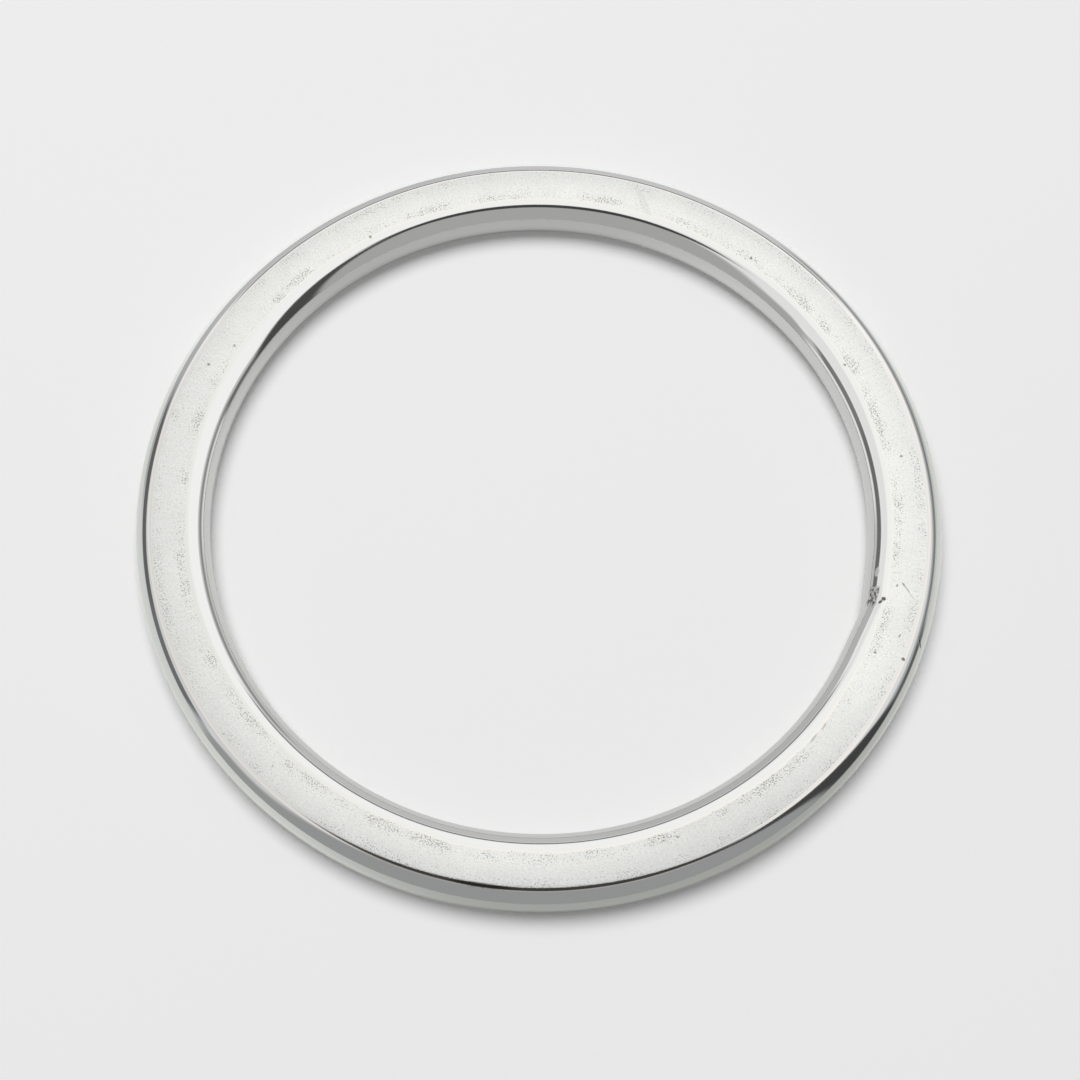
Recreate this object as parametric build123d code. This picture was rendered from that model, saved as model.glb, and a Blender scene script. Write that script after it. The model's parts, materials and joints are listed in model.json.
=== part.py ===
"""Flat ring washer bent from rounded flat bar and closed with one skewed butt weld.

Frame: origin at the centre of the hole in the plane of the lower face, +Z up, millimetres.
Angles are azimuths about +Z, counted from +X. The closing weld sits at WELD_AZIMUTH.
"""

from build123d import *
from math import cos, radians, sin, tan
import os

# ---- driving dimensions --------------------------------------------------------------
BORE_DIAMETER = 45.0
OUTER_DIAMETER = 55.0
THICKNESS = 3.0
CORNER_RADIUS = 1.3       # all four long edges of the bar; leaves a level strip 2.4 wide
                          # on each face and an upright strip 0.4 high on each side

WELD_AZIMUTH = -16.0      # where the two ends of the bar meet at the hole
STRAIGHT_ANGLE = 8.5      # each end stays straight over this much of the turn
WELD_SKEW = 22.0          # the weld runs this far off square to the bar
WELD_THICKNESS = 0.3      # fused metal between the two ends

# ---- sizes that follow from them -----------------------------------------------------
BAR_WIDTH = (OUTER_DIAMETER - BORE_DIAMETER) / 2
RING_RADIUS = (OUTER_DIAMETER + BORE_DIAMETER) / 4

# The straight ends meet in a kink, whose inner edge lies a little outside the bore's circle.
KINK_RADIUS = BORE_DIAMETER / 2 / cos(radians(STRAIGHT_ANGLE))
STRAIGHT_LENGTH = OUTER_DIAMETER / 2 * tan(radians(STRAIGHT_ANGLE))
TOOL_SIZE = 4 * BAR_WIDTH


def bar_section():
    """Section of the bar, upright in the XZ plane with its centre on the pitch circle."""
    upright = Plane(origin=(RING_RADIUS, 0, THICKNESS / 2), x_dir=(1, 0, 0), z_dir=(0, -1, 0))
    return upright * RectangleRounded(BAR_WIDTH, THICKNESS, CORNER_RADIUS)


def curved_length():
    """The part of the bar that is rolled to the ring's radius, with the gap at azimuth 0."""
    start = Rot(0, 0, STRAIGHT_ANGLE) * bar_section()
    return revolve(start, Axis.Z, 360 - 2 * STRAIGHT_ANGLE)


def straight_end(turn):
    """One straight end of the bar, up to the radial plane of the kink; turn is 1 or -1."""
    angle = radians(STRAIGHT_ANGLE)
    start = Rot(0, 0, turn * STRAIGHT_ANGLE) * bar_section()
    towards_kink = (sin(angle), -turn * cos(angle), 0)
    end = extrude(start, STRAIGHT_LENGTH, dir=towards_kink)
    beyond_kink = Pos(KINK_RADIUS, -turn * TOOL_SIZE / 2, 0) * Box(TOOL_SIZE, TOOL_SIZE, TOOL_SIZE)
    return end - beyond_kink


def closed_loop():
    """The whole ring: kinked at the hole where the ends meet, dressed truly round outside."""
    kinked = curved_length() + straight_end(1) + straight_end(-1)
    truly_round = revolve(bar_section(), Axis.Z, 360)
    inside_pitch_circle = Cylinder(RING_RADIUS, TOOL_SIZE)
    return (kinked & inside_pitch_circle) + (truly_round - inside_pitch_circle)


def weld_slice():
    """Thin upright slab through the kink's inner edge, turned off square by the weld's skew."""
    upright_slab = Box(TOOL_SIZE, WELD_THICKNESS, TOOL_SIZE)
    return Pos(KINK_RADIUS, 0, 0) * Rot(0, 0, -WELD_SKEW) * upright_slab


def make_ring_bar():
    """The bent bar, with both ends cut at the weld."""
    return closed_loop() - weld_slice()


def make_butt_weld():
    """The fused metal that joins the two ends, dressed level with the bar."""
    return closed_loop() & weld_slice()


PARTS = {
    "ring_bar": make_ring_bar,
    "butt_weld": make_butt_weld,
}

os.makedirs("parts", exist_ok=True)
for node, make in PARTS.items():
    placed = Rot(0, 0, WELD_AZIMUTH) * make()
    export_step(placed, f"parts/{node}.step")
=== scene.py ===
"""Looks of the flat ring washer: the ring and its weld, finely meshed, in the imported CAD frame.

Everything is in the CAD frame. Sizes are worked out in millimetres and turned into metres
when a mesh, a light or the camera is made. Azimuths are in degrees about +Z from +X.
"""

import json
from collections import namedtuple
from math import asin, cos, degrees, pi, radians, sin
from types import SimpleNamespace

import bpy
import numpy as np
from mathutils import Matrix, Vector


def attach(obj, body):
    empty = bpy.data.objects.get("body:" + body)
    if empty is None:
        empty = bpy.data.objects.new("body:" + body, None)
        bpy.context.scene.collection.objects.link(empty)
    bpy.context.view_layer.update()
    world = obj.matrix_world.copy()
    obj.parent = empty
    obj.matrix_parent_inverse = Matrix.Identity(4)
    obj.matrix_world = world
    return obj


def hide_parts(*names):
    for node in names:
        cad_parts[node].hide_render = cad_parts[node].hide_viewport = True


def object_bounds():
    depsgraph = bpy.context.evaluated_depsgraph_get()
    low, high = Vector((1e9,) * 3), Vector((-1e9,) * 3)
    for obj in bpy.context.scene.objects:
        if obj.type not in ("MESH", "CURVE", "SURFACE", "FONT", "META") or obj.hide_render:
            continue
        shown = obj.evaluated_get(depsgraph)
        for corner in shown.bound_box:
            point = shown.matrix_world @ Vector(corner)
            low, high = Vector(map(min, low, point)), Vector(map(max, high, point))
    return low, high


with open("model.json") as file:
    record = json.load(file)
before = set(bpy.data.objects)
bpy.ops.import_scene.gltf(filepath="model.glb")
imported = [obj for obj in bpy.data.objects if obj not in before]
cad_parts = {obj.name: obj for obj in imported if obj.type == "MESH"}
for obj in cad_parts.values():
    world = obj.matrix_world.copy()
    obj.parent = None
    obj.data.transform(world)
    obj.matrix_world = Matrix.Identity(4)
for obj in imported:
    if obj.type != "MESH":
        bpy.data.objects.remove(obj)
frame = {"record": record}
cad_low, cad_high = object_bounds()

MM = 0.001
MICRON = 0.001 * MM

# ---- sizes read from the frame, in millimetres ---------------------------------------
bore_mount = next(m for m in frame["record"]["mounts"] if m["name"] == "bore")
BORE_RADIUS = bore_mount["dims"]["r_mm"]
OUTER_RADIUS = (cad_high.y - cad_low.y) / 2 / MM
THICKNESS = (cad_high.z - cad_low.z) / MM
BAR_WIDTH = OUTER_RADIUS - BORE_RADIUS
PITCH_RADIUS = (OUTER_RADIUS + BORE_RADIUS) / 2

# ---- the bar and its weld, as in the CAD model ---------------------------------------
CORNER_RADIUS = 1.3
HALF_FLAT = BAR_WIDTH / 2 - CORNER_RADIUS
HALF_LAND = THICKNESS / 2 - CORNER_RADIUS
WELD_AZIMUTH = -16.0
STRAIGHT_ANGLE = 8.5
WELD_SKEW = 22.0
WELD_THICKNESS = 0.3

# ---- how finely the ring is meshed ---------------------------------------------------
CORNER_STEPS = 15
FLAT_STEPS = 12
LAND_STEPS = 2
STATIONS_ALONG = 860
END_ZONE = 9.0             # degrees beside the weld that are meshed more finely
END_ZONE_STATIONS = 90
WELD_STATIONS = 6
SEAM_ROUNDS = 12           # rounds of refining where a seam meets the bar's lines
SHARP_ANGLE = 40.0


# ======================================================================================
# Ring and weld meshes
# ======================================================================================

def corner_point(side, level, angle):
    """Point at an angle, in degrees, on the section's round corner at a side and level (each 1 or -1)."""
    offset = side * HALF_FLAT + CORNER_RADIUS * cos(radians(angle))
    height = level * HALF_LAND + CORNER_RADIUS * sin(radians(angle))
    return np.array((offset, height))


def section_points():
    """Closed outline of the bar's section as (offset from the pitch line, height), anticlockwise."""
    corners = ((1, -1), (1, 1), (-1, 1), (-1, -1))
    points = []
    for quarter, (side, level) in enumerate(corners):
        first_angle = 90 * quarter - 90
        last_angle = first_angle + 90
        for angle in np.linspace(first_angle, last_angle, CORNER_STEPS, endpoint=False):
            points.append(corner_point(side, level, angle))
        # the straight stretch from this corner to the next one
        next_side, next_level = corners[(quarter + 1) % 4]
        start = corner_point(side, level, last_angle)
        stop = corner_point(next_side, next_level, last_angle)
        steps = LAND_STEPS if next_side == side else FLAT_STEPS
        for share in np.linspace(0, 1, steps, endpoint=False):
            points.append(start + (stop - start) * share)
    return np.array(points) + (0.0, THICKNESS / 2)


def bar_radius(offset, angle):
    """Distance from the axis of the line that keeps this offset; the kink fades out across the face."""
    bend = np.radians(np.maximum(0.0, STRAIGHT_ANGLE - np.abs(angle)))
    kink_share = np.clip(0.5 - offset / (2 * HALF_FLAT), 0, 1)
    return (PITCH_RADIUS + offset) * (1 + kink_share * (1 / np.cos(bend) - 1))


def place(angle, offset, height):
    """Points in metres in the CAD frame, for an angle in degrees from the kink."""
    radius = bar_radius(offset, angle)
    azimuth = np.radians(angle + WELD_AZIMUTH)
    x, y, z = np.broadcast_arrays(radius * np.cos(azimuth), radius * np.sin(azimuth), height)
    return np.stack([x, y, z], -1) * MM


def seam_angle(offset, side):
    """Angle from the kink, in degrees, where this offset meets the weld's border on a side (1 or -1)."""
    skew = radians(WELD_SKEW)
    kink_radius = BORE_RADIUS / cos(radians(STRAIGHT_ANGLE))
    # the border passes the kink's corner half a weld away, so it passes the ring's axis at this distance
    from_axis = kink_radius * sin(skew) + side * WELD_THICKNESS / 2
    angle = 0.0
    for _ in range(SEAM_ROUNDS):
        angle = degrees(asin(from_axis / float(bar_radius(offset, angle)))) - WELD_SKEW
    return angle


def grid_mesh(name, points):
    """Solid from stations x section points: closed round the section, with a fan on each end."""
    stations, around = points.shape[:2]
    vertices = points.reshape(-1, 3)
    index = np.arange(stations * around).reshape(stations, around)
    beside = np.roll(index, -1, axis=1)
    faces = np.stack([index[:-1], beside[:-1], beside[1:], index[1:]], -1).reshape(-1, 4).tolist()
    for station, is_start in ((0, True), (stations - 1, False)):
        centre = len(vertices)
        vertices = np.vstack([vertices, points[station].mean(0)])
        for first, second in zip(index[station], beside[station]):
            faces.append([second, first, centre] if is_start else [first, second, centre])
    mesh = bpy.data.meshes.new(name)
    mesh.from_pydata(vertices.tolist(), [], faces)
    mesh.validate()
    mesh.shade_smooth()
    mesh.set_sharp_from_angle(angle=radians(SHARP_ANGLE))
    obj = bpy.data.objects.new(name, mesh)
    bpy.context.scene.collection.objects.link(obj)
    return obj


def station_shares():
    """Shares of the way round from one bar end to the other, closer together near the ends."""
    zone = END_ZONE / 360
    first = np.linspace(0, zone, END_ZONE_STATIONS, endpoint=False)
    middle = np.linspace(zone, 1 - zone, STATIONS_ALONG, endpoint=False)
    last = np.linspace(1 - zone, 1, END_ZONE_STATIONS + 1)
    return np.concatenate([first, middle, last])


def make_piece(name, sides, shares):
    """Length of bar between the seams on the two given sides; a stop behind the start is a turn further."""
    offset, height = section_points().T
    start, stop = (np.array([seam_angle(each, side) for each in offset]) for side in sides)
    stop = np.where(stop < start, stop + 360, stop)
    angle = start + (stop - start) * shares[:, None]
    angle = np.where(angle > 180, angle - 360, angle)
    return grid_mesh(name, place(angle, offset, height))


# ======================================================================================
# Node helpers
# ======================================================================================

class Graph:
    """Short names for building a shader node tree; inputs may be sockets or plain values."""

    def __init__(self, tree):
        self.tree = tree
        tree.nodes.clear()

    def node(self, kind, inputs=None, **settings):
        made = self.tree.nodes.new(kind)
        for key, value in settings.items():
            setattr(made, key, value)
        for key, value in (inputs or {}).items():
            self.feed(made.inputs[key], value)
        return made

    def feed(self, socket, value):
        if isinstance(value, bpy.types.NodeSocket):
            self.tree.links.new(value, socket)
        else:
            socket.default_value = value

    def math(self, operation, *values):
        return self.node("ShaderNodeMath", dict(enumerate(values)), operation=operation).outputs[0]

    def times(self, first, *others):
        for other in others:
            first = self.math("MULTIPLY", first, other)
        return first

    def minus(self, first, second):
        return self.math("SUBTRACT", first, second)

    def times_plus(self, value, factor, added):
        return self.math("MULTIPLY_ADD", value, factor, added)

    def vary(self, noise, spread, middle=1.0):
        """Noise, which averages a half, spread around the middle value."""
        return self.times_plus(noise, spread, middle - spread / 2)

    def sine(self, angle_degrees):
        return self.math("SINE", self.times(angle_degrees, pi / 180))

    def vector(self, operation, *values):
        made = self.node("ShaderNodeVectorMath", dict(enumerate(values)), operation=operation)
        is_scalar = operation in ("LENGTH", "DOT_PRODUCT")
        return made.outputs["Value" if is_scalar else "Vector"]

    def split(self, vector):
        return tuple(self.node("ShaderNodeSeparateXYZ", {0: vector}).outputs)

    def combine(self, x, y, z):
        return self.node("ShaderNodeCombineXYZ", {"X": x, "Y": y, "Z": z}).outputs[0]

    def rise(self, value, low, high, to_low=0.0, to_high=1.0):
        """Smooth step of value from low to high."""
        inputs = {"Value": value, "From Min": low, "From Max": high, "To Min": to_low, "To Max": to_high}
        made = self.node("ShaderNodeMapRange", inputs, interpolation_type="SMOOTHSTEP", clamp=True)
        return made.outputs["Result"]

    def band(self, value, low, high, soft):
        """1 between low and high, falling to 0 over 2 x soft at each border."""
        up = self.rise(value, low - soft, low + soft)
        down = self.rise(value, high - soft, high + soft, 1.0, 0.0)
        return self.times(up, down)

    def blend(self, factor, value_a, value_b):
        """Number between two others."""
        return self.node("ShaderNodeMix", {"Factor": factor, "A": value_a, "B": value_b}).outputs[0]

    def mix(self, factor, colour_a, colour_b):
        """Colour between two others; the mix node's sockets 6 and 7 and its output 2 are its colour ones."""
        inputs = {"Factor": factor, 6: colour_a, 7: colour_b}
        return self.node("ShaderNodeMix", inputs, data_type="RGBA", clamp_factor=True).outputs[2]

    def noise(self, vector, scale, detail=2.0, roughness=0.5):
        inputs = {"Vector": vector, "Scale": scale, "Detail": detail, "Roughness": roughness}
        return self.node("ShaderNodeTexNoise", inputs).outputs["Fac"]


# ======================================================================================
# Metal
# ======================================================================================

# ---- zones: distances across the bar are offsets from the pitch line, in millimetres -
LEVEL_FACE = (0.9965, 0.9995)      # upright share of the normal where the level face sets in
RIDGE_OFFSET = -1.0                # the satin strip starts at a ridge that wanders around here
RIDGE_WANDER = 0.5
RIDGE_HALF_WIDTH = 0.08
RIDGE_SOFTNESS = 0.05
SATIN_BORDER = (-0.05, 0.12)       # distances from the ridge between which the satin sets in
RIM_START = 1.25                   # the outer rim's tone sets in here, over the width of its border
RIM_BORDER = 0.15
RIM_LINE = (0.965, 0.992, 0.006)   # upright share of the normal on the rim's painted highlight line: from, to, softness
RIM_LINE_START = (1.2, 1.3)        # that line sets in between these offsets
RIM_BACK = (0.1, 0.7)              # sine of the azimuth between which the rim's paler far tone, a painted reflection, sets in
HOLE_WALL = (-2.05, -1.50, 0.08)   # the rounded part of the hole's wall: from, to, softness
ROUGH_WALL = (-15.9, -12.6, 0.5)   # azimuths where that wall is rough, beside the weld: from, to, softness
NEAR_RIGHT = (-76, -40, 16)        # azimuths of a stretch of the face darkened by painted shade: from, to, softness

# ---- colours -------------------------------------------------------------------------
HOLE_SIDE_TONE = (0.865, 0.868, 0.845, 1.0)
# painted shade and reflection: the rim's tone is darker at the near side and paler and bluer at the far side
RIM_SHADED_NEAR_TONE = (0.675, 0.690, 0.680, 1.0)
RIM_LIT_FAR_TONE = (0.960, 0.975, 0.990, 1.0)
SATIN_COLOUR = (0.883, 0.890, 0.858)    # a plain vector, so it has no fourth value
# painted highlight: pale cream for the ridge's line and for glints
RIDGE_HIGHLIGHT_COLOUR = (0.93, 0.90, 0.83, 1.0)
# painted highlight: peach for the line along the outer edge and for a streak
RIM_HIGHLIGHT_COLOUR = (0.95, 0.88, 0.82, 1.0)
PIT_COLOUR = (0.16, 0.14, 0.12, 1.0)
HIGHLIGHT_LINE_STRENGTH = 0.7
GLINT_STRENGTH = 0.8
SPECK_STRENGTH = 0.36
PIT_STRENGTH = 0.68
FLECK_LIMITS = (0.44, 0.58)        # noise between which the rough wall turns dark

# ---- variation of the satin strip's brightness, and painted shade on it --------------
GRAIN_SPREAD = 0.36
CLOUD_SPREAD = 0.12
BRUSHING_SPREAD = 0.10
# painted shade: the satin strip darkens outward from the ridge, more at the near and far sides, for its
# dimmer reflections there
OUTWARD_PAINTED_SHADE = 0.04
NEAR_FAR_PAINTED_SHADE = 0.08            # added to it at the near and far sides
PAINTED_SHADE_REACH = (0.4, 2.3)         # distances from the ridge between which both set in
NEAR_RIGHT_PAINTED_SHADE = 0.12

# ---- noise cells per millimetre ------------------------------------------------------
RIDGE_CELLS = 0.18
PATCH_CELLS = 0.45
CLOUD_CELLS = 0.5
GRAIN_CELLS = 7.0
SPECK_CELLS = 9.0
WOBBLE_CELLS = 11.0
PIT_SIZE_CELLS = 14.0
FLECK_CELLS = 1.5
BRUSHING_STRETCH = (2.2, 0.7)      # noise units per degree round the ring and per millimetre across it
FLECK_STRETCH = (0.9, 5.0)
STREAK_STRETCH = (0.035, 6.0)      # the second one is also per millimetre of height

# ---- specks and pits -----------------------------------------------------------------
CROWDED_LINE = 0.30                # distance from the ridge at which they crowd most
CROWDED_REACH = (0.1, 0.7)         # distances from that line between which they thin out
THINNED = 0.12                     # what is left of the crowd beyond that reach
OUTER_CROWD = (0.65, 1.40, 0.25)   # a second crowded band near the outer edge: from, to, softness
OUTER_CROWD_SHARE = 0.7
PATCH_LIMITS = (0.40, 0.64)        # noise between which a thin patch turns into a crowded one
PATCH_CROWD = (0.20, 1.25)         # share of the crowd kept in a thin and in a crowded patch
SPECK_THRESHOLD = 0.16             # how far from its middle the noise shows as a speck, away from crowds
SPECK_CROWDING = 0.10              # how much of that a crowd takes off
SPECK_BORDER = 0.05
PIT_SPACING = 1.3
PIT_RADIUS = 0.13
PIT_SHARE = 0.6                    # share of the cells that hold a pit where the crowd value is 1
PIT_LEAST_CROWD = 0.35

# ---- roughness, and heights in thousandths of a millimetre ---------------------------
SATIN_ROUGHNESS = 0.18
SATIN_ROUGHNESS_SPREAD = 0.14
SIDE_ROUGHNESS = 0.08
SIDE_ROUGHNESS_SPREAD = 0.06
MARGIN_ROUGHNESS = 0.12
SCUFF_ROUGHNESS = 0.5
WELD_ROUGHNESS_ADDED = 0.04
SATIN_GRAIN_HEIGHT = 5.0
SIDE_GRAIN_HEIGHT = 0.25
SPECK_DEPTH = 7.0
PIT_DEPTH = 12.0
DENT_DEPTH = 20.0
ROUGH_WALL_DEPTH = 15.0

# ---- single marks --------------------------------------------------------------------
# A mark is an oval whose length leans this many degrees from outward towards rising azimuth.
Mark = namedtuple("Mark", "azimuth offset length width lean strength")
MARK_WOBBLE = 0.9
MARK_BORDER = (1.1, 1.6)           # distances, in half sizes plus wobble, over which a mark fades out
DENT_FADE = 0.2                    # dents fade in over this height above the bar's middle

# the two dark holes where the weld meets the edge of the hole
PINHOLES = (
    Mark(-14.45, -1.08, 0.34, 0.27, 20, 1.0),
    Mark(-15.1, -1.25, 0.34, 0.17, 50, 1.0),
)
SCRATCH = (
    Mark(-11.3, 0.02, 0.35, 0.10, -43, 0.65),
    Mark(-11.9, 0.30, 0.55, 0.08, -43, 0.5),
    Mark(-12.8, 0.67, 0.80, 0.06, -40, 0.2),
)
SINGLE_PITS = (
    Mark(-22.7, 1.38, 0.24, 0.20, 0, 0.85),
    Mark(-19.5, 0.62, 0.26, 0.10, 70, 0.6),
    Mark(-23.5, -0.47, 0.20, 0.14, 0, 0.6),
    Mark(-11.7, -0.40, 0.22, 0.12, 60, 0.6),
    Mark(-38.3, -0.80, 0.6, 0.12, -85, 0.35),
    Mark(-40.9, -0.80, 0.7, 0.14, -85, 0.35),
)
# the hooked mark where the weld meets the outer edge
WELD_LIP = Mark(-19.2, 2.02, 0.70, 0.14, -60, 0.9)
# a dark streak along the outer edge at the near side
DARK_EDGE_STREAK = Mark(-96.3, 1.36, 4.2, 0.36, 90, 0.7)
SMUDGE = Mark(74.3, -0.10, 2.6, 0.55, 38, 0.10)
# painted highlight: a pale streak along the ridge
CREAM_HIGHLIGHT_STREAK = Mark(-37.4, -1.00, 2.1, 0.24, -85, 0.9)
SCUFF = Mark(-9.9, -1.85, 0.30, 0.75, 0, 0.9)


def ring_coordinates(graph):
    """Where the shaded point is on the ring.

    place and height are in millimetres, across is the offset from the pitch line, azimuth is in
    degrees, and upright is 1 where the surface is level and 0 where it is a wall.
    """
    place_m = graph.node("ShaderNodeTexCoord").outputs["Object"]
    to_mm = graph.node("ShaderNodeVectorMath", {0: place_m, "Scale": 1 / MM}, operation="SCALE")
    place_mm = to_mm.outputs["Vector"]
    x, y, height = graph.split(place_mm)
    across = graph.minus(graph.vector("LENGTH", graph.combine(x, y, 0.0)), PITCH_RADIUS)
    azimuth = graph.times(graph.math("ARCTAN2", y, x), 180 / pi)
    normal = graph.node("ShaderNodeNewGeometry").outputs["Normal"]
    upright = graph.math("ABSOLUTE", graph.split(normal)[2])
    return SimpleNamespace(place=place_mm, height=height, across=across, azimuth=azimuth, upright=upright)


def face_zones(graph, spot):
    """The level face, its satin strip beyond the ridge, the ridge's line, where a highlight is painted, and
    the distance from the ridge.
    """
    face = graph.rise(spot.upright, *LEVEL_FACE)
    ridge_at = graph.vary(graph.noise(spot.place, RIDGE_CELLS), RIDGE_WANDER, RIDGE_OFFSET)
    from_ridge = graph.minus(spot.across, ridge_at)
    satin = graph.times(face, graph.rise(from_ridge, *SATIN_BORDER))
    ridge = graph.band(from_ridge, -RIDGE_HALF_WIDTH, RIDGE_HALF_WIDTH, RIDGE_SOFTNESS)
    return SimpleNamespace(face=face, satin=satin, ridge=graph.times(ridge, face), from_ridge=from_ridge)


def speck_masks(graph, spot, crowd):
    """Masks of small uneven dark specks and bright specks, the bright ones painted as glints, more of them
    where the crowd value is high.
    """
    grain = graph.noise(spot.place, SPECK_CELLS, detail=3.0, roughness=0.7)
    from_middle = graph.math("ABSOLUTE", graph.minus(grain, 0.5))
    excess = graph.minus(from_middle, graph.times_plus(crowd, -SPECK_CROWDING, SPECK_THRESHOLD))
    seen = graph.rise(excess, 0.0, SPECK_BORDER)
    is_dark = graph.math("GREATER_THAN", grain, 0.5)
    return graph.times(seen, is_dark), graph.times(seen, graph.minus(1.0, is_dark))


def pit_mask(graph, spot, crowd):
    """Mask of round pits: one candidate per cell, of which more are kept where the crowd value is high."""
    inputs = {"Vector": spot.place, "Scale": 1 / PIT_SPACING, "Randomness": 1.0}
    cells = graph.node("ShaderNodeTexVoronoi", inputs)
    chance = graph.node("ShaderNodeSeparateColor", {0: cells.outputs["Color"]}).outputs[0]
    kept = graph.math("LESS_THAN", chance, graph.times(crowd, PIT_SHARE))
    uneven = graph.noise(spot.place, PIT_SIZE_CELLS, detail=1.0)
    size = graph.times(uneven, 2 * PIT_RADIUS / PIT_SPACING)
    inside = graph.rise(cells.outputs["Distance"], graph.times(size, 0.5), size, 1.0, 0.0)
    return graph.times(inside, kept)


def mark_mask(graph, spot, marks):
    """Mask of the given marks, each a leaning oval with an uneven border."""
    wobble = graph.noise(spot.place, WOBBLE_CELLS)
    total = 0.0
    for mark in marks:
        outward = graph.minus(spot.across, mark.offset)
        mm_per_degree = (PITCH_RADIUS + mark.offset) * pi / 180
        around = graph.times(graph.minus(spot.azimuth, mark.azimuth), mm_per_degree)
        lean_cos, lean_sin = cos(radians(mark.lean)), sin(radians(mark.lean))
        lengthwise = graph.times_plus(outward, lean_cos, graph.times(around, lean_sin))
        sideways = graph.times_plus(outward, -lean_sin, graph.times(around, lean_cos))
        in_half_lengths = graph.times(lengthwise, 2 / mark.length)
        in_half_widths = graph.times(sideways, 2 / mark.width)
        from_centre = graph.vector("LENGTH", graph.combine(in_half_lengths, in_half_widths, 0.0))
        distance = graph.times_plus(wobble, MARK_WOBBLE, from_centre)
        total = graph.math("MAXIMUM", total, graph.rise(distance, *MARK_BORDER, mark.strength, 0.0))
    return total


def find_flaws(graph, spot, zones):
    """Masks of dark specks, glints, pits, dents and the rough stretch of the hole's wall with its flecks."""
    from_crowded_line = graph.math("ABSOLUTE", graph.minus(zones.from_ridge, CROWDED_LINE))
    by_ridge = graph.rise(from_crowded_line, *CROWDED_REACH, 1.0, THINNED)
    by_edge = graph.times(graph.band(spot.across, *OUTER_CROWD), OUTER_CROWD_SHARE)
    patch_noise = graph.noise(spot.place, PATCH_CELLS, detail=3.0, roughness=0.6)
    patches = graph.rise(patch_noise, *PATCH_LIMITS, *PATCH_CROWD)
    crowd = graph.times(graph.math("MAXIMUM", by_ridge, by_edge), patches)
    dark, bright = speck_masks(graph, spot, crowd)
    pits = pit_mask(graph, spot, graph.math("MAXIMUM", crowd, PIT_LEAST_CROWD))
    dents = mark_mask(graph, spot, (*PINHOLES, *SCRATCH, *SINGLE_PITS, WELD_LIP))
    on_top = graph.rise(spot.height, THICKNESS / 2, THICKNESS / 2 + DENT_FADE)
    fleck_place = graph.combine(graph.times(spot.azimuth, FLECK_STRETCH[0]),
                                graph.times(spot.across, FLECK_STRETCH[1]), 0.0)
    return SimpleNamespace(
        specks=graph.times(dark, zones.satin),
        glints=graph.times(bright, graph.times(by_ridge, zones.face)),
        pits=graph.times(pits, zones.face),
        dents=graph.times(dents, on_top),
        rough_wall=graph.times(graph.band(spot.across, *HOLE_WALL), graph.band(spot.azimuth, *ROUGH_WALL)),
        flecks=graph.noise(fleck_place, FLECK_CELLS, detail=3.0, roughness=0.7),
    )


def satin_tone(graph, spot, zones, grain):
    """Colour of the satin strip: grain, clouds, radial brushing, and painted shade that darkens it outward
    and at the near right.
    """
    brushing_place = graph.combine(graph.times(spot.azimuth, BRUSHING_STRETCH[0]),
                                   graph.times(spot.across, BRUSHING_STRETCH[1]), 0.0)
    clouds = graph.vary(graph.noise(spot.place, CLOUD_CELLS, detail=3.0, roughness=0.6), CLOUD_SPREAD)
    brushing = graph.vary(graph.noise(brushing_place, 1.0, detail=3.0), BRUSHING_SPREAD)
    near_or_far = graph.math("ABSOLUTE", graph.sine(spot.azimuth))
    most_painted_shade = graph.times_plus(near_or_far, -NEAR_FAR_PAINTED_SHADE, -OUTWARD_PAINTED_SHADE)
    painted_shade = graph.times(most_painted_shade, graph.rise(zones.from_ridge, *PAINTED_SHADE_REACH))
    shaded_outward = graph.math("ADD", painted_shade, 1.0)
    near_right_shade = graph.times_plus(graph.band(spot.azimuth, *NEAR_RIGHT), -NEAR_RIGHT_PAINTED_SHADE, 1.0)
    level = graph.times(graph.vary(grain, GRAIN_SPREAD), clouds, brushing, shaded_outward, near_right_shade)
    return graph.vector("MULTIPLY", SATIN_COLOUR, graph.combine(level, level, level))


def side_tone(graph, spot):
    """Colour of the rounded sides: the hole's, and the rim's, which has painted shade at the near side and a
    paler painted reflection at the far side.
    """
    rim_painted_tone = graph.mix(graph.rise(graph.sine(spot.azimuth), *RIM_BACK), RIM_SHADED_NEAR_TONE, RIM_LIT_FAR_TONE)
    return graph.mix(graph.rise(spot.across, RIM_START, RIM_START + RIM_BORDER), HOLE_SIDE_TONE, rim_painted_tone)


def metal_colour(graph, spot, zones, flaws, grain):
    """Base colour, painted layer by layer."""
    rim_highlight = graph.times(graph.band(spot.upright, *RIM_LINE), graph.rise(spot.across, *RIM_LINE_START))
    fleck_strength = graph.times(flaws.rough_wall, graph.rise(flaws.flecks, *FLECK_LIMITS))
    layers = (
        (zones.satin, satin_tone(graph, spot, zones, grain)),
        # painted highlights: the ridge's line and the rim's line
        (graph.times(zones.ridge, HIGHLIGHT_LINE_STRENGTH), RIDGE_HIGHLIGHT_COLOUR),
        (graph.times(rim_highlight, HIGHLIGHT_LINE_STRENGTH), RIM_HIGHLIGHT_COLOUR),
        (mark_mask(graph, spot, (SMUDGE, DARK_EDGE_STREAK)), PIT_COLOUR),
        # painted highlights: a pale streak along the ridge, and glints
        (mark_mask(graph, spot, (CREAM_HIGHLIGHT_STREAK,)), RIM_HIGHLIGHT_COLOUR),
        (graph.times(flaws.glints, GLINT_STRENGTH), RIDGE_HIGHLIGHT_COLOUR),
        (graph.times(flaws.specks, SPECK_STRENGTH), PIT_COLOUR),
        (graph.times(flaws.pits, PIT_STRENGTH), PIT_COLOUR),
        (flaws.dents, PIT_COLOUR),
        (fleck_strength, PIT_COLOUR),
    )
    colour = side_tone(graph, spot)
    for strength, paint in layers:
        colour = graph.mix(strength, colour, paint)
    return colour


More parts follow.
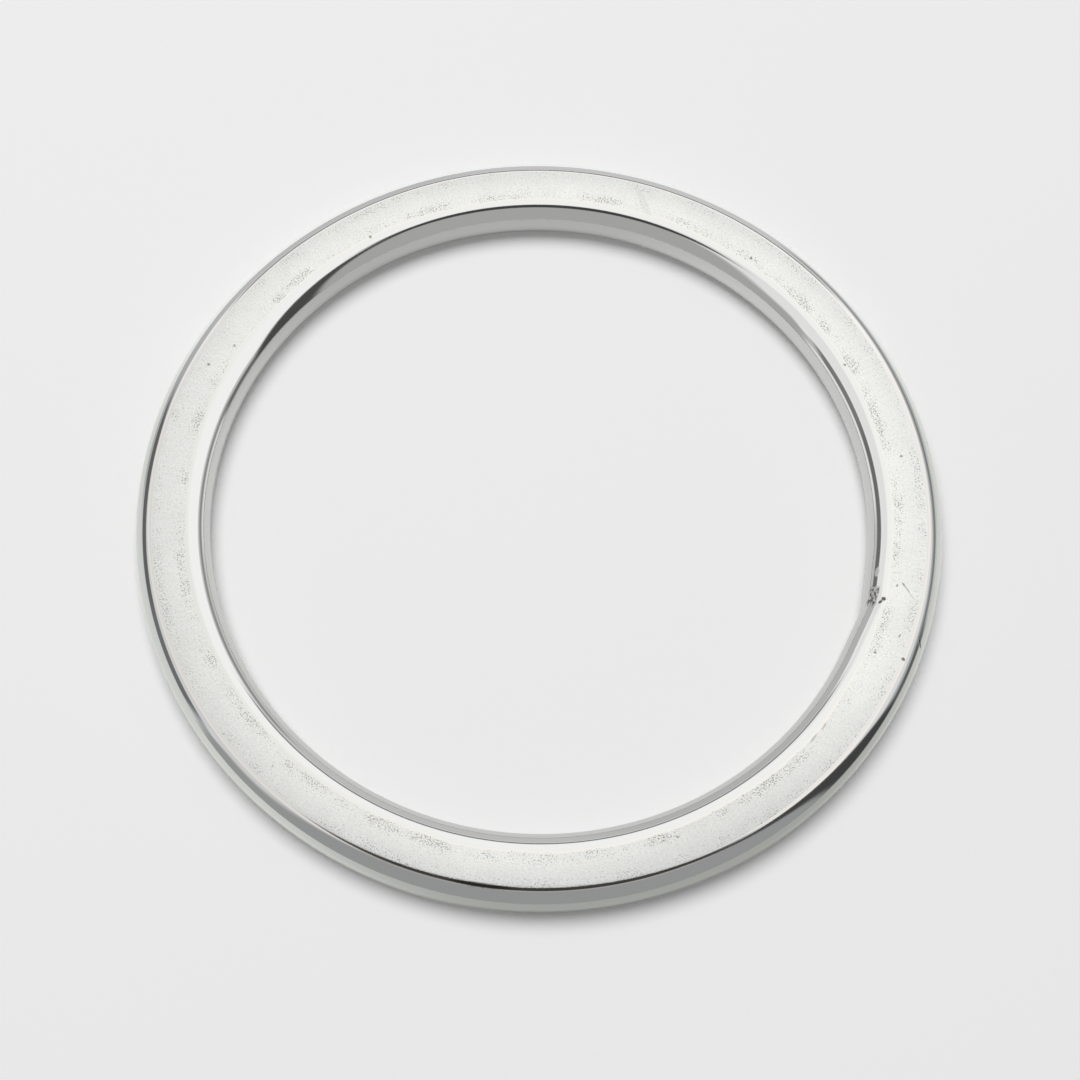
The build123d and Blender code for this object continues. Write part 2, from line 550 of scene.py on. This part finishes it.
def metal_roughness(graph, spot, zones, flaws, grain, added):
    """Satin strip, smoother margin beside the hole, streaked sides, and scuffs."""
    streak_place = graph.combine(graph.times(spot.azimuth, STREAK_STRETCH[0]),
                                 graph.times(spot.across, STREAK_STRETCH[1]),
                                 graph.times(spot.height, STREAK_STRETCH[1]))
    streaks = graph.noise(streak_place, 1.0, detail=3.0)
    side = graph.vary(streaks, SIDE_ROUGHNESS_SPREAD, SIDE_ROUGHNESS + added)
    margin = graph.times_plus(zones.face, MARGIN_ROUGHNESS - SIDE_ROUGHNESS, side)
    satin = graph.vary(grain, SATIN_ROUGHNESS_SPREAD, SATIN_ROUGHNESS)
    scuffed = graph.math("MAXIMUM", mark_mask(graph, spot, (SCUFF,)), flaws.rough_wall)
    return graph.blend(scuffed, graph.blend(zones.satin, margin, satin), SCUFF_ROUGHNESS)


def metal_relief(graph, zones, flaws, grain):
    """Bumped normal; the heights are in thousandths of a millimetre."""
    grain_height = graph.times_plus(zones.satin, SATIN_GRAIN_HEIGHT, SIDE_GRAIN_HEIGHT)
    relief = graph.times(graph.minus(grain, 0.5), grain_height)
    relief = graph.minus(relief, graph.times(flaws.specks, SPECK_DEPTH))
    relief = graph.minus(relief, graph.times(flaws.pits, PIT_DEPTH))
    relief = graph.minus(relief, graph.times(flaws.dents, DENT_DEPTH))
    relief = graph.minus(relief, graph.times(flaws.rough_wall, graph.times(flaws.flecks, ROUGH_WALL_DEPTH)))
    return graph.node("ShaderNodeBump", {"Height": relief, "Distance": MICRON, "Strength": 1.0}).outputs[0]


def make_metal(name, roughness_added):
    """Bright plated steel; the added roughness is for its sides and margin."""
    material = bpy.data.materials.new(name)
    material.use_nodes = True
    graph = Graph(material.node_tree)
    spot = ring_coordinates(graph)
    zones = face_zones(graph, spot)
    flaws = find_flaws(graph, spot, zones)
    grain = graph.noise(spot.place, GRAIN_CELLS, detail=3.0, roughness=0.6)
    shader = graph.node("ShaderNodeBsdfPrincipled", {
        "Base Color": metal_colour(graph, spot, zones, flaws, grain),
        "Metallic": 1.0,
        "Roughness": metal_roughness(graph, spot, zones, flaws, grain, roughness_added),
        "Normal": metal_relief(graph, zones, flaws, grain),
    })
    graph.node("ShaderNodeOutputMaterial", {"Surface": shader.outputs[0]})
    return material


# ======================================================================================
# Surroundings: floor, light and camera
# ======================================================================================

BACKDROP_LEVEL = 0.83
FLOOR_LEVEL = 0.93                 # how pale the floor is
FLOOR_HALF_SIZE = 3.0              # metres
FLOOR_FADE = (70.0, 220.0)         # the floor turns into the plain backdrop between these distances
FLOOR_PAINTED_BOUNCE = 0.13                  # painted light: glow that lifts the floor's shadows, for light the metal bounces onto it
DIM_SIDE = -65                     # azimuth towards which painted shade darkens the floor most when mirrored in the metal
MIRRORED_INSIDE = (0.77, 0.58)     # its share of brightness in the hole: other sides, dim side
MIRRORED_OUTSIDE = (1.06, 0.64)    # the same outside the ring
DIMMING_INSIDE = (0.0, 0.95)       # cosines of the angle from the dim side between which it dims
DIMMING_OUTSIDE = (0.1, 0.97)
MIRRORED_BLUE = 0.96               # what is left of its blue outside the ring

# Upright panels around the ring, in degrees; azimuth is the middle, low and high are elevations.
Panel = namedtuple("Panel", "name azimuth half_width low high softness brightness")
STUDIO_PANELS = (
    Panel("low band behind", 90, 108, -1, 38, 3, 0.56),
    Panel("low band left", 120, 22, -1, 36, 6, 0.49),
    Panel("bright strip right", 16, 18, -1, 12, 4, 0.75),
    Panel("bright strip left", 178, 20, -1, 14, 4, 0.85),
    Panel("dim band right", 34, 30, 14, 27, 3, 0.28),
    Panel("window behind", 90, 108, 35, 88, 2, 1.00),
    Panel("window's left half", 160, 50, 41, 88, 8, 0.84),
    Panel("window sill", 92, 30, 37, 45, 2, 0.18),
    Panel("dark card left", 167, 26, 15, 39, 3, 0.16),
    Panel("lighter edge of the dark card", -179, 9, 20, 38, 2, 0.21),
    Panel("dark patch right", -1, 7, 3, 22, 3, 0.15),
    Panel("dark card right", -18, 11, 4, 78, 2.5, 0.07),
)
FRONT_LEVEL = 0.41                 # brightness wherever there is no panel
DIFFUSE_SHARE = 0.28               # how much of the surroundings' light reaches the floor
ZENITH_LEVEL = 0.05
ZENITH_CENTRE = (-90, 87.5)        # azimuth and elevation of the dark patch overhead
ZENITH_RADIUS = 9.0                # its radius from front to back
ZENITH_SOFTNESS = 1.5
ZENITH_WIDENING = 1.7              # how many times wider it is from side to side

SOFTBOX_DIAMETER = 440.0
SOFTBOX_DISTANCE = 600.0
SOFTBOX_AZIMUTH = 118.0
SOFTBOX_ELEVATION = 78.0
SOFTBOX_WATTS = 2.40

CAMERA_LENS = 70.0
CAMERA_SENSOR = 36.0
CAMERA_CLIP = (0.01, 10.0)         # metres
CAMERA_DISTANCE = 143.2
CAMERA_AZIMUTH = -90.08
CAMERA_ELEVATION = 68.03
CAMERA_ROLL = 1.98
LOOK_AT = (0.08, -1.95, THICKNESS / 2)


def on_sphere(distance, azimuth, elevation):
    """Point at a distance from the origin in the given direction."""
    turn, tilt = radians(azimuth), radians(elevation)
    return np.array((cos(tilt) * cos(turn), cos(tilt) * sin(turn), sin(tilt))) * distance


def point_at(obj, position, target, roll=0.0):
    """Places a light or camera and turns it towards a point; both in millimetres."""
    towards = Vector(target) - Vector(position)
    shift = Matrix.Translation(Vector(position) * MM)
    turn = towards.to_track_quat("-Z", "Y").to_matrix().to_4x4()
    obj.matrix_world = shift @ turn @ Matrix.Rotation(radians(roll), 4, "Z")


def panel_mask(graph, direction, elevation, panel):
    """Mask of one panel of the studio."""
    inputs = {"Vector": direction, "Angle": -radians(panel.azimuth)}
    turned = graph.node("ShaderNodeVectorRotate", inputs, rotation_type="Z_AXIS", label=panel.name)
    ahead, aside, _ = graph.split(turned.outputs[0])
    from_middle = graph.times(graph.math("ABSOLUTE", graph.math("ARCTAN2", aside, ahead)), 180 / pi)
    nearest, furthest = panel.half_width - panel.softness, panel.half_width + panel.softness
    within = graph.rise(from_middle, nearest, furthest, 1.0, 0.0)
    return graph.times(within, graph.band(elevation, panel.low, panel.high, panel.softness))


def zenith_mask(graph, direction):
    """Mask of the dark oval overhead."""
    narrowed = graph.vector("NORMALIZE", graph.vector("MULTIPLY", direction, (1 / ZENITH_WIDENING, 1, 1)))
    nearness = graph.vector("DOT_PRODUCT", narrowed, tuple(on_sphere(1.0, *ZENITH_CENTRE)))
    from_centre = graph.times(graph.math("ARCCOSINE", nearness), 180 / pi)
    return graph.rise(from_centre, ZENITH_RADIUS - ZENITH_SOFTNESS, ZENITH_RADIUS + ZENITH_SOFTNESS, 1.0, 0.0)


def make_world():
    """Studio that the metal mirrors; the camera sees only a plain backdrop, and the floor gets a share."""
    world = bpy.data.worlds.new("studio")
    bpy.context.scene.world = world
    world.use_nodes = True
    graph = Graph(world.node_tree)
    direction = graph.node("ShaderNodeTexCoord").outputs["Generated"]
    elevation = graph.times(graph.math("ARCSINE", graph.split(direction)[2]), 180 / pi)
    level = FRONT_LEVEL
    for panel in STUDIO_PANELS:
        level = graph.blend(panel_mask(graph, direction, elevation, panel), level, panel.brightness)
    level = graph.blend(zenith_mask(graph, direction), level, ZENITH_LEVEL)
    path = graph.node("ShaderNodeLightPath")
    lights_floor = graph.math("MINIMUM", path.outputs["Diffuse Depth"], 1.0)
    level = graph.times(level, graph.times_plus(lights_floor, DIFFUSE_SHARE - 1, 1.0))
    level = graph.blend(path.outputs["Is Camera Ray"], level, BACKDROP_LEVEL)
    background = graph.node("ShaderNodeBackground", {"Color": graph.combine(level, level, level)})
    graph.node("ShaderNodeOutputWorld", {"Surface": background.outputs[0]})


def floor_tone(graph, place_m, came_from):
    """Pale grey; where the metal mirrors it, painted shade darkens it in the hole and towards one side, and
    outside the ring painted light brightens it a little on the other sides and makes it less blue.
    """
    x, y, _ = graph.split(came_from)
    level_part = graph.vector("NORMALIZE", graph.combine(x, y, 0.0))
    to_dim_side = graph.vector("DOT_PRODUCT", level_part, tuple(on_sphere(1.0, DIM_SIDE + 180, 0)))
    outside = graph.rise(graph.vector("LENGTH", place_m), BORE_RADIUS * MM, OUTER_RADIUS * MM)
    share_inside = graph.rise(to_dim_side, *DIMMING_INSIDE, *MIRRORED_INSIDE)
    share_outside = graph.rise(to_dim_side, *DIMMING_OUTSIDE, *MIRRORED_OUTSIDE)
    is_mirrored = graph.node("ShaderNodeLightPath").outputs["Is Glossy Ray"]
    share = graph.blend(is_mirrored, 1.0, graph.blend(outside, share_inside, share_outside))
    less_blue = graph.times(graph.times(is_mirrored, outside), MIRRORED_BLUE - 1)
    blue_share = graph.times(share, graph.math("ADD", less_blue, 1.0))
    return graph.vector("MULTIPLY", (FLOOR_LEVEL,) * 3, graph.combine(share, share, blue_share))


def make_floor():
    """Level sheet under the ring that fades into the backdrop."""
    material = bpy.data.materials.new("pale_floor")
    material.use_nodes = True
    graph = Graph(material.node_tree)
    geometry = graph.node("ShaderNodeNewGeometry")
    place_m = geometry.outputs["Position"]
    tone = floor_tone(graph, place_m, geometry.outputs["Incoming"])
    lit = graph.node("ShaderNodeBsdfDiffuse", {"Color": tone})
    # painted light: the floor glows a little, for light the metal bounces onto it
    painted_bounce = graph.node("ShaderNodeEmission", {"Color": tone, "Strength": FLOOR_PAINTED_BOUNCE})
    near = graph.node("ShaderNodeAddShader", {0: lit.outputs[0], 1: painted_bounce.outputs[0]})
    far = graph.node("ShaderNodeEmission", {"Color": tone, "Strength": BACKDROP_LEVEL / FLOOR_LEVEL})
    away = graph.rise(graph.vector("LENGTH", place_m), *(limit * MM for limit in FLOOR_FADE))
    shader = graph.node("ShaderNodeMixShader", {0: away, 1: near.outputs[0], 2: far.outputs[0]})
    graph.node("ShaderNodeOutputMaterial", {"Surface": shader.outputs[0]})

    sides = ((-1, -1), (1, -1), (1, 1), (-1, 1))
    corners = [(x * FLOOR_HALF_SIZE, y * FLOOR_HALF_SIZE, cad_low.z) for x, y in sides]
    mesh = bpy.data.meshes.new("floor")
    mesh.from_pydata(corners, [], [(0, 1, 2, 3)])
    mesh.materials.append(material)
    floor = bpy.data.objects.new("floor", mesh)
    bpy.context.scene.collection.objects.link(floor)


def make_softbox():
    """Large soft light above and behind; it lights the floor but isn't mirrored in the metal."""
    light = bpy.data.lights.new("softbox", "AREA")
    light.shape = "DISK"
    light.size = SOFTBOX_DIAMETER * MM
    light.energy = SOFTBOX_WATTS
    obj = bpy.data.objects.new("softbox", light)
    bpy.context.scene.collection.objects.link(obj)
    point_at(obj, on_sphere(SOFTBOX_DISTANCE, SOFTBOX_AZIMUTH, SOFTBOX_ELEVATION), (0, 0, 0))
    obj.visible_glossy = False


def make_camera():
    data = bpy.data.cameras.new("camera")
    data.lens = CAMERA_LENS
    data.sensor_width = CAMERA_SENSOR
    data.clip_start, data.clip_end = CAMERA_CLIP
    obj = bpy.data.objects.new("camera", data)
    bpy.context.scene.collection.objects.link(obj)
    position = np.array(LOOK_AT) + on_sphere(CAMERA_DISTANCE, CAMERA_AZIMUTH, CAMERA_ELEVATION)
    point_at(obj, position, LOOK_AT, CAMERA_ROLL)
    bpy.context.scene.camera = obj


# ======================================================================================
# Assembly
# ======================================================================================

def dress(piece, node, material):
    """Gives a piece its metal and puts it in the place of its CAD node."""
    piece.data.materials.append(material)
    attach(piece, "root")
    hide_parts(node)


plated_steel = make_metal("plated_steel", 0.0)
weld_metal = make_metal("weld_metal", WELD_ROUGHNESS_ADDED)
ring = make_piece("ring", (1, -1), station_shares())
weld = make_piece("weld", (-1, 1), np.linspace(0, 1, WELD_STATIONS))
dress(ring, "ring_bar", plated_steel)
dress(weld, "butt_weld", weld_metal)

make_floor()
make_world()
make_softbox()
make_camera()
bpy.context.scene.view_settings.view_transform = "Standard"
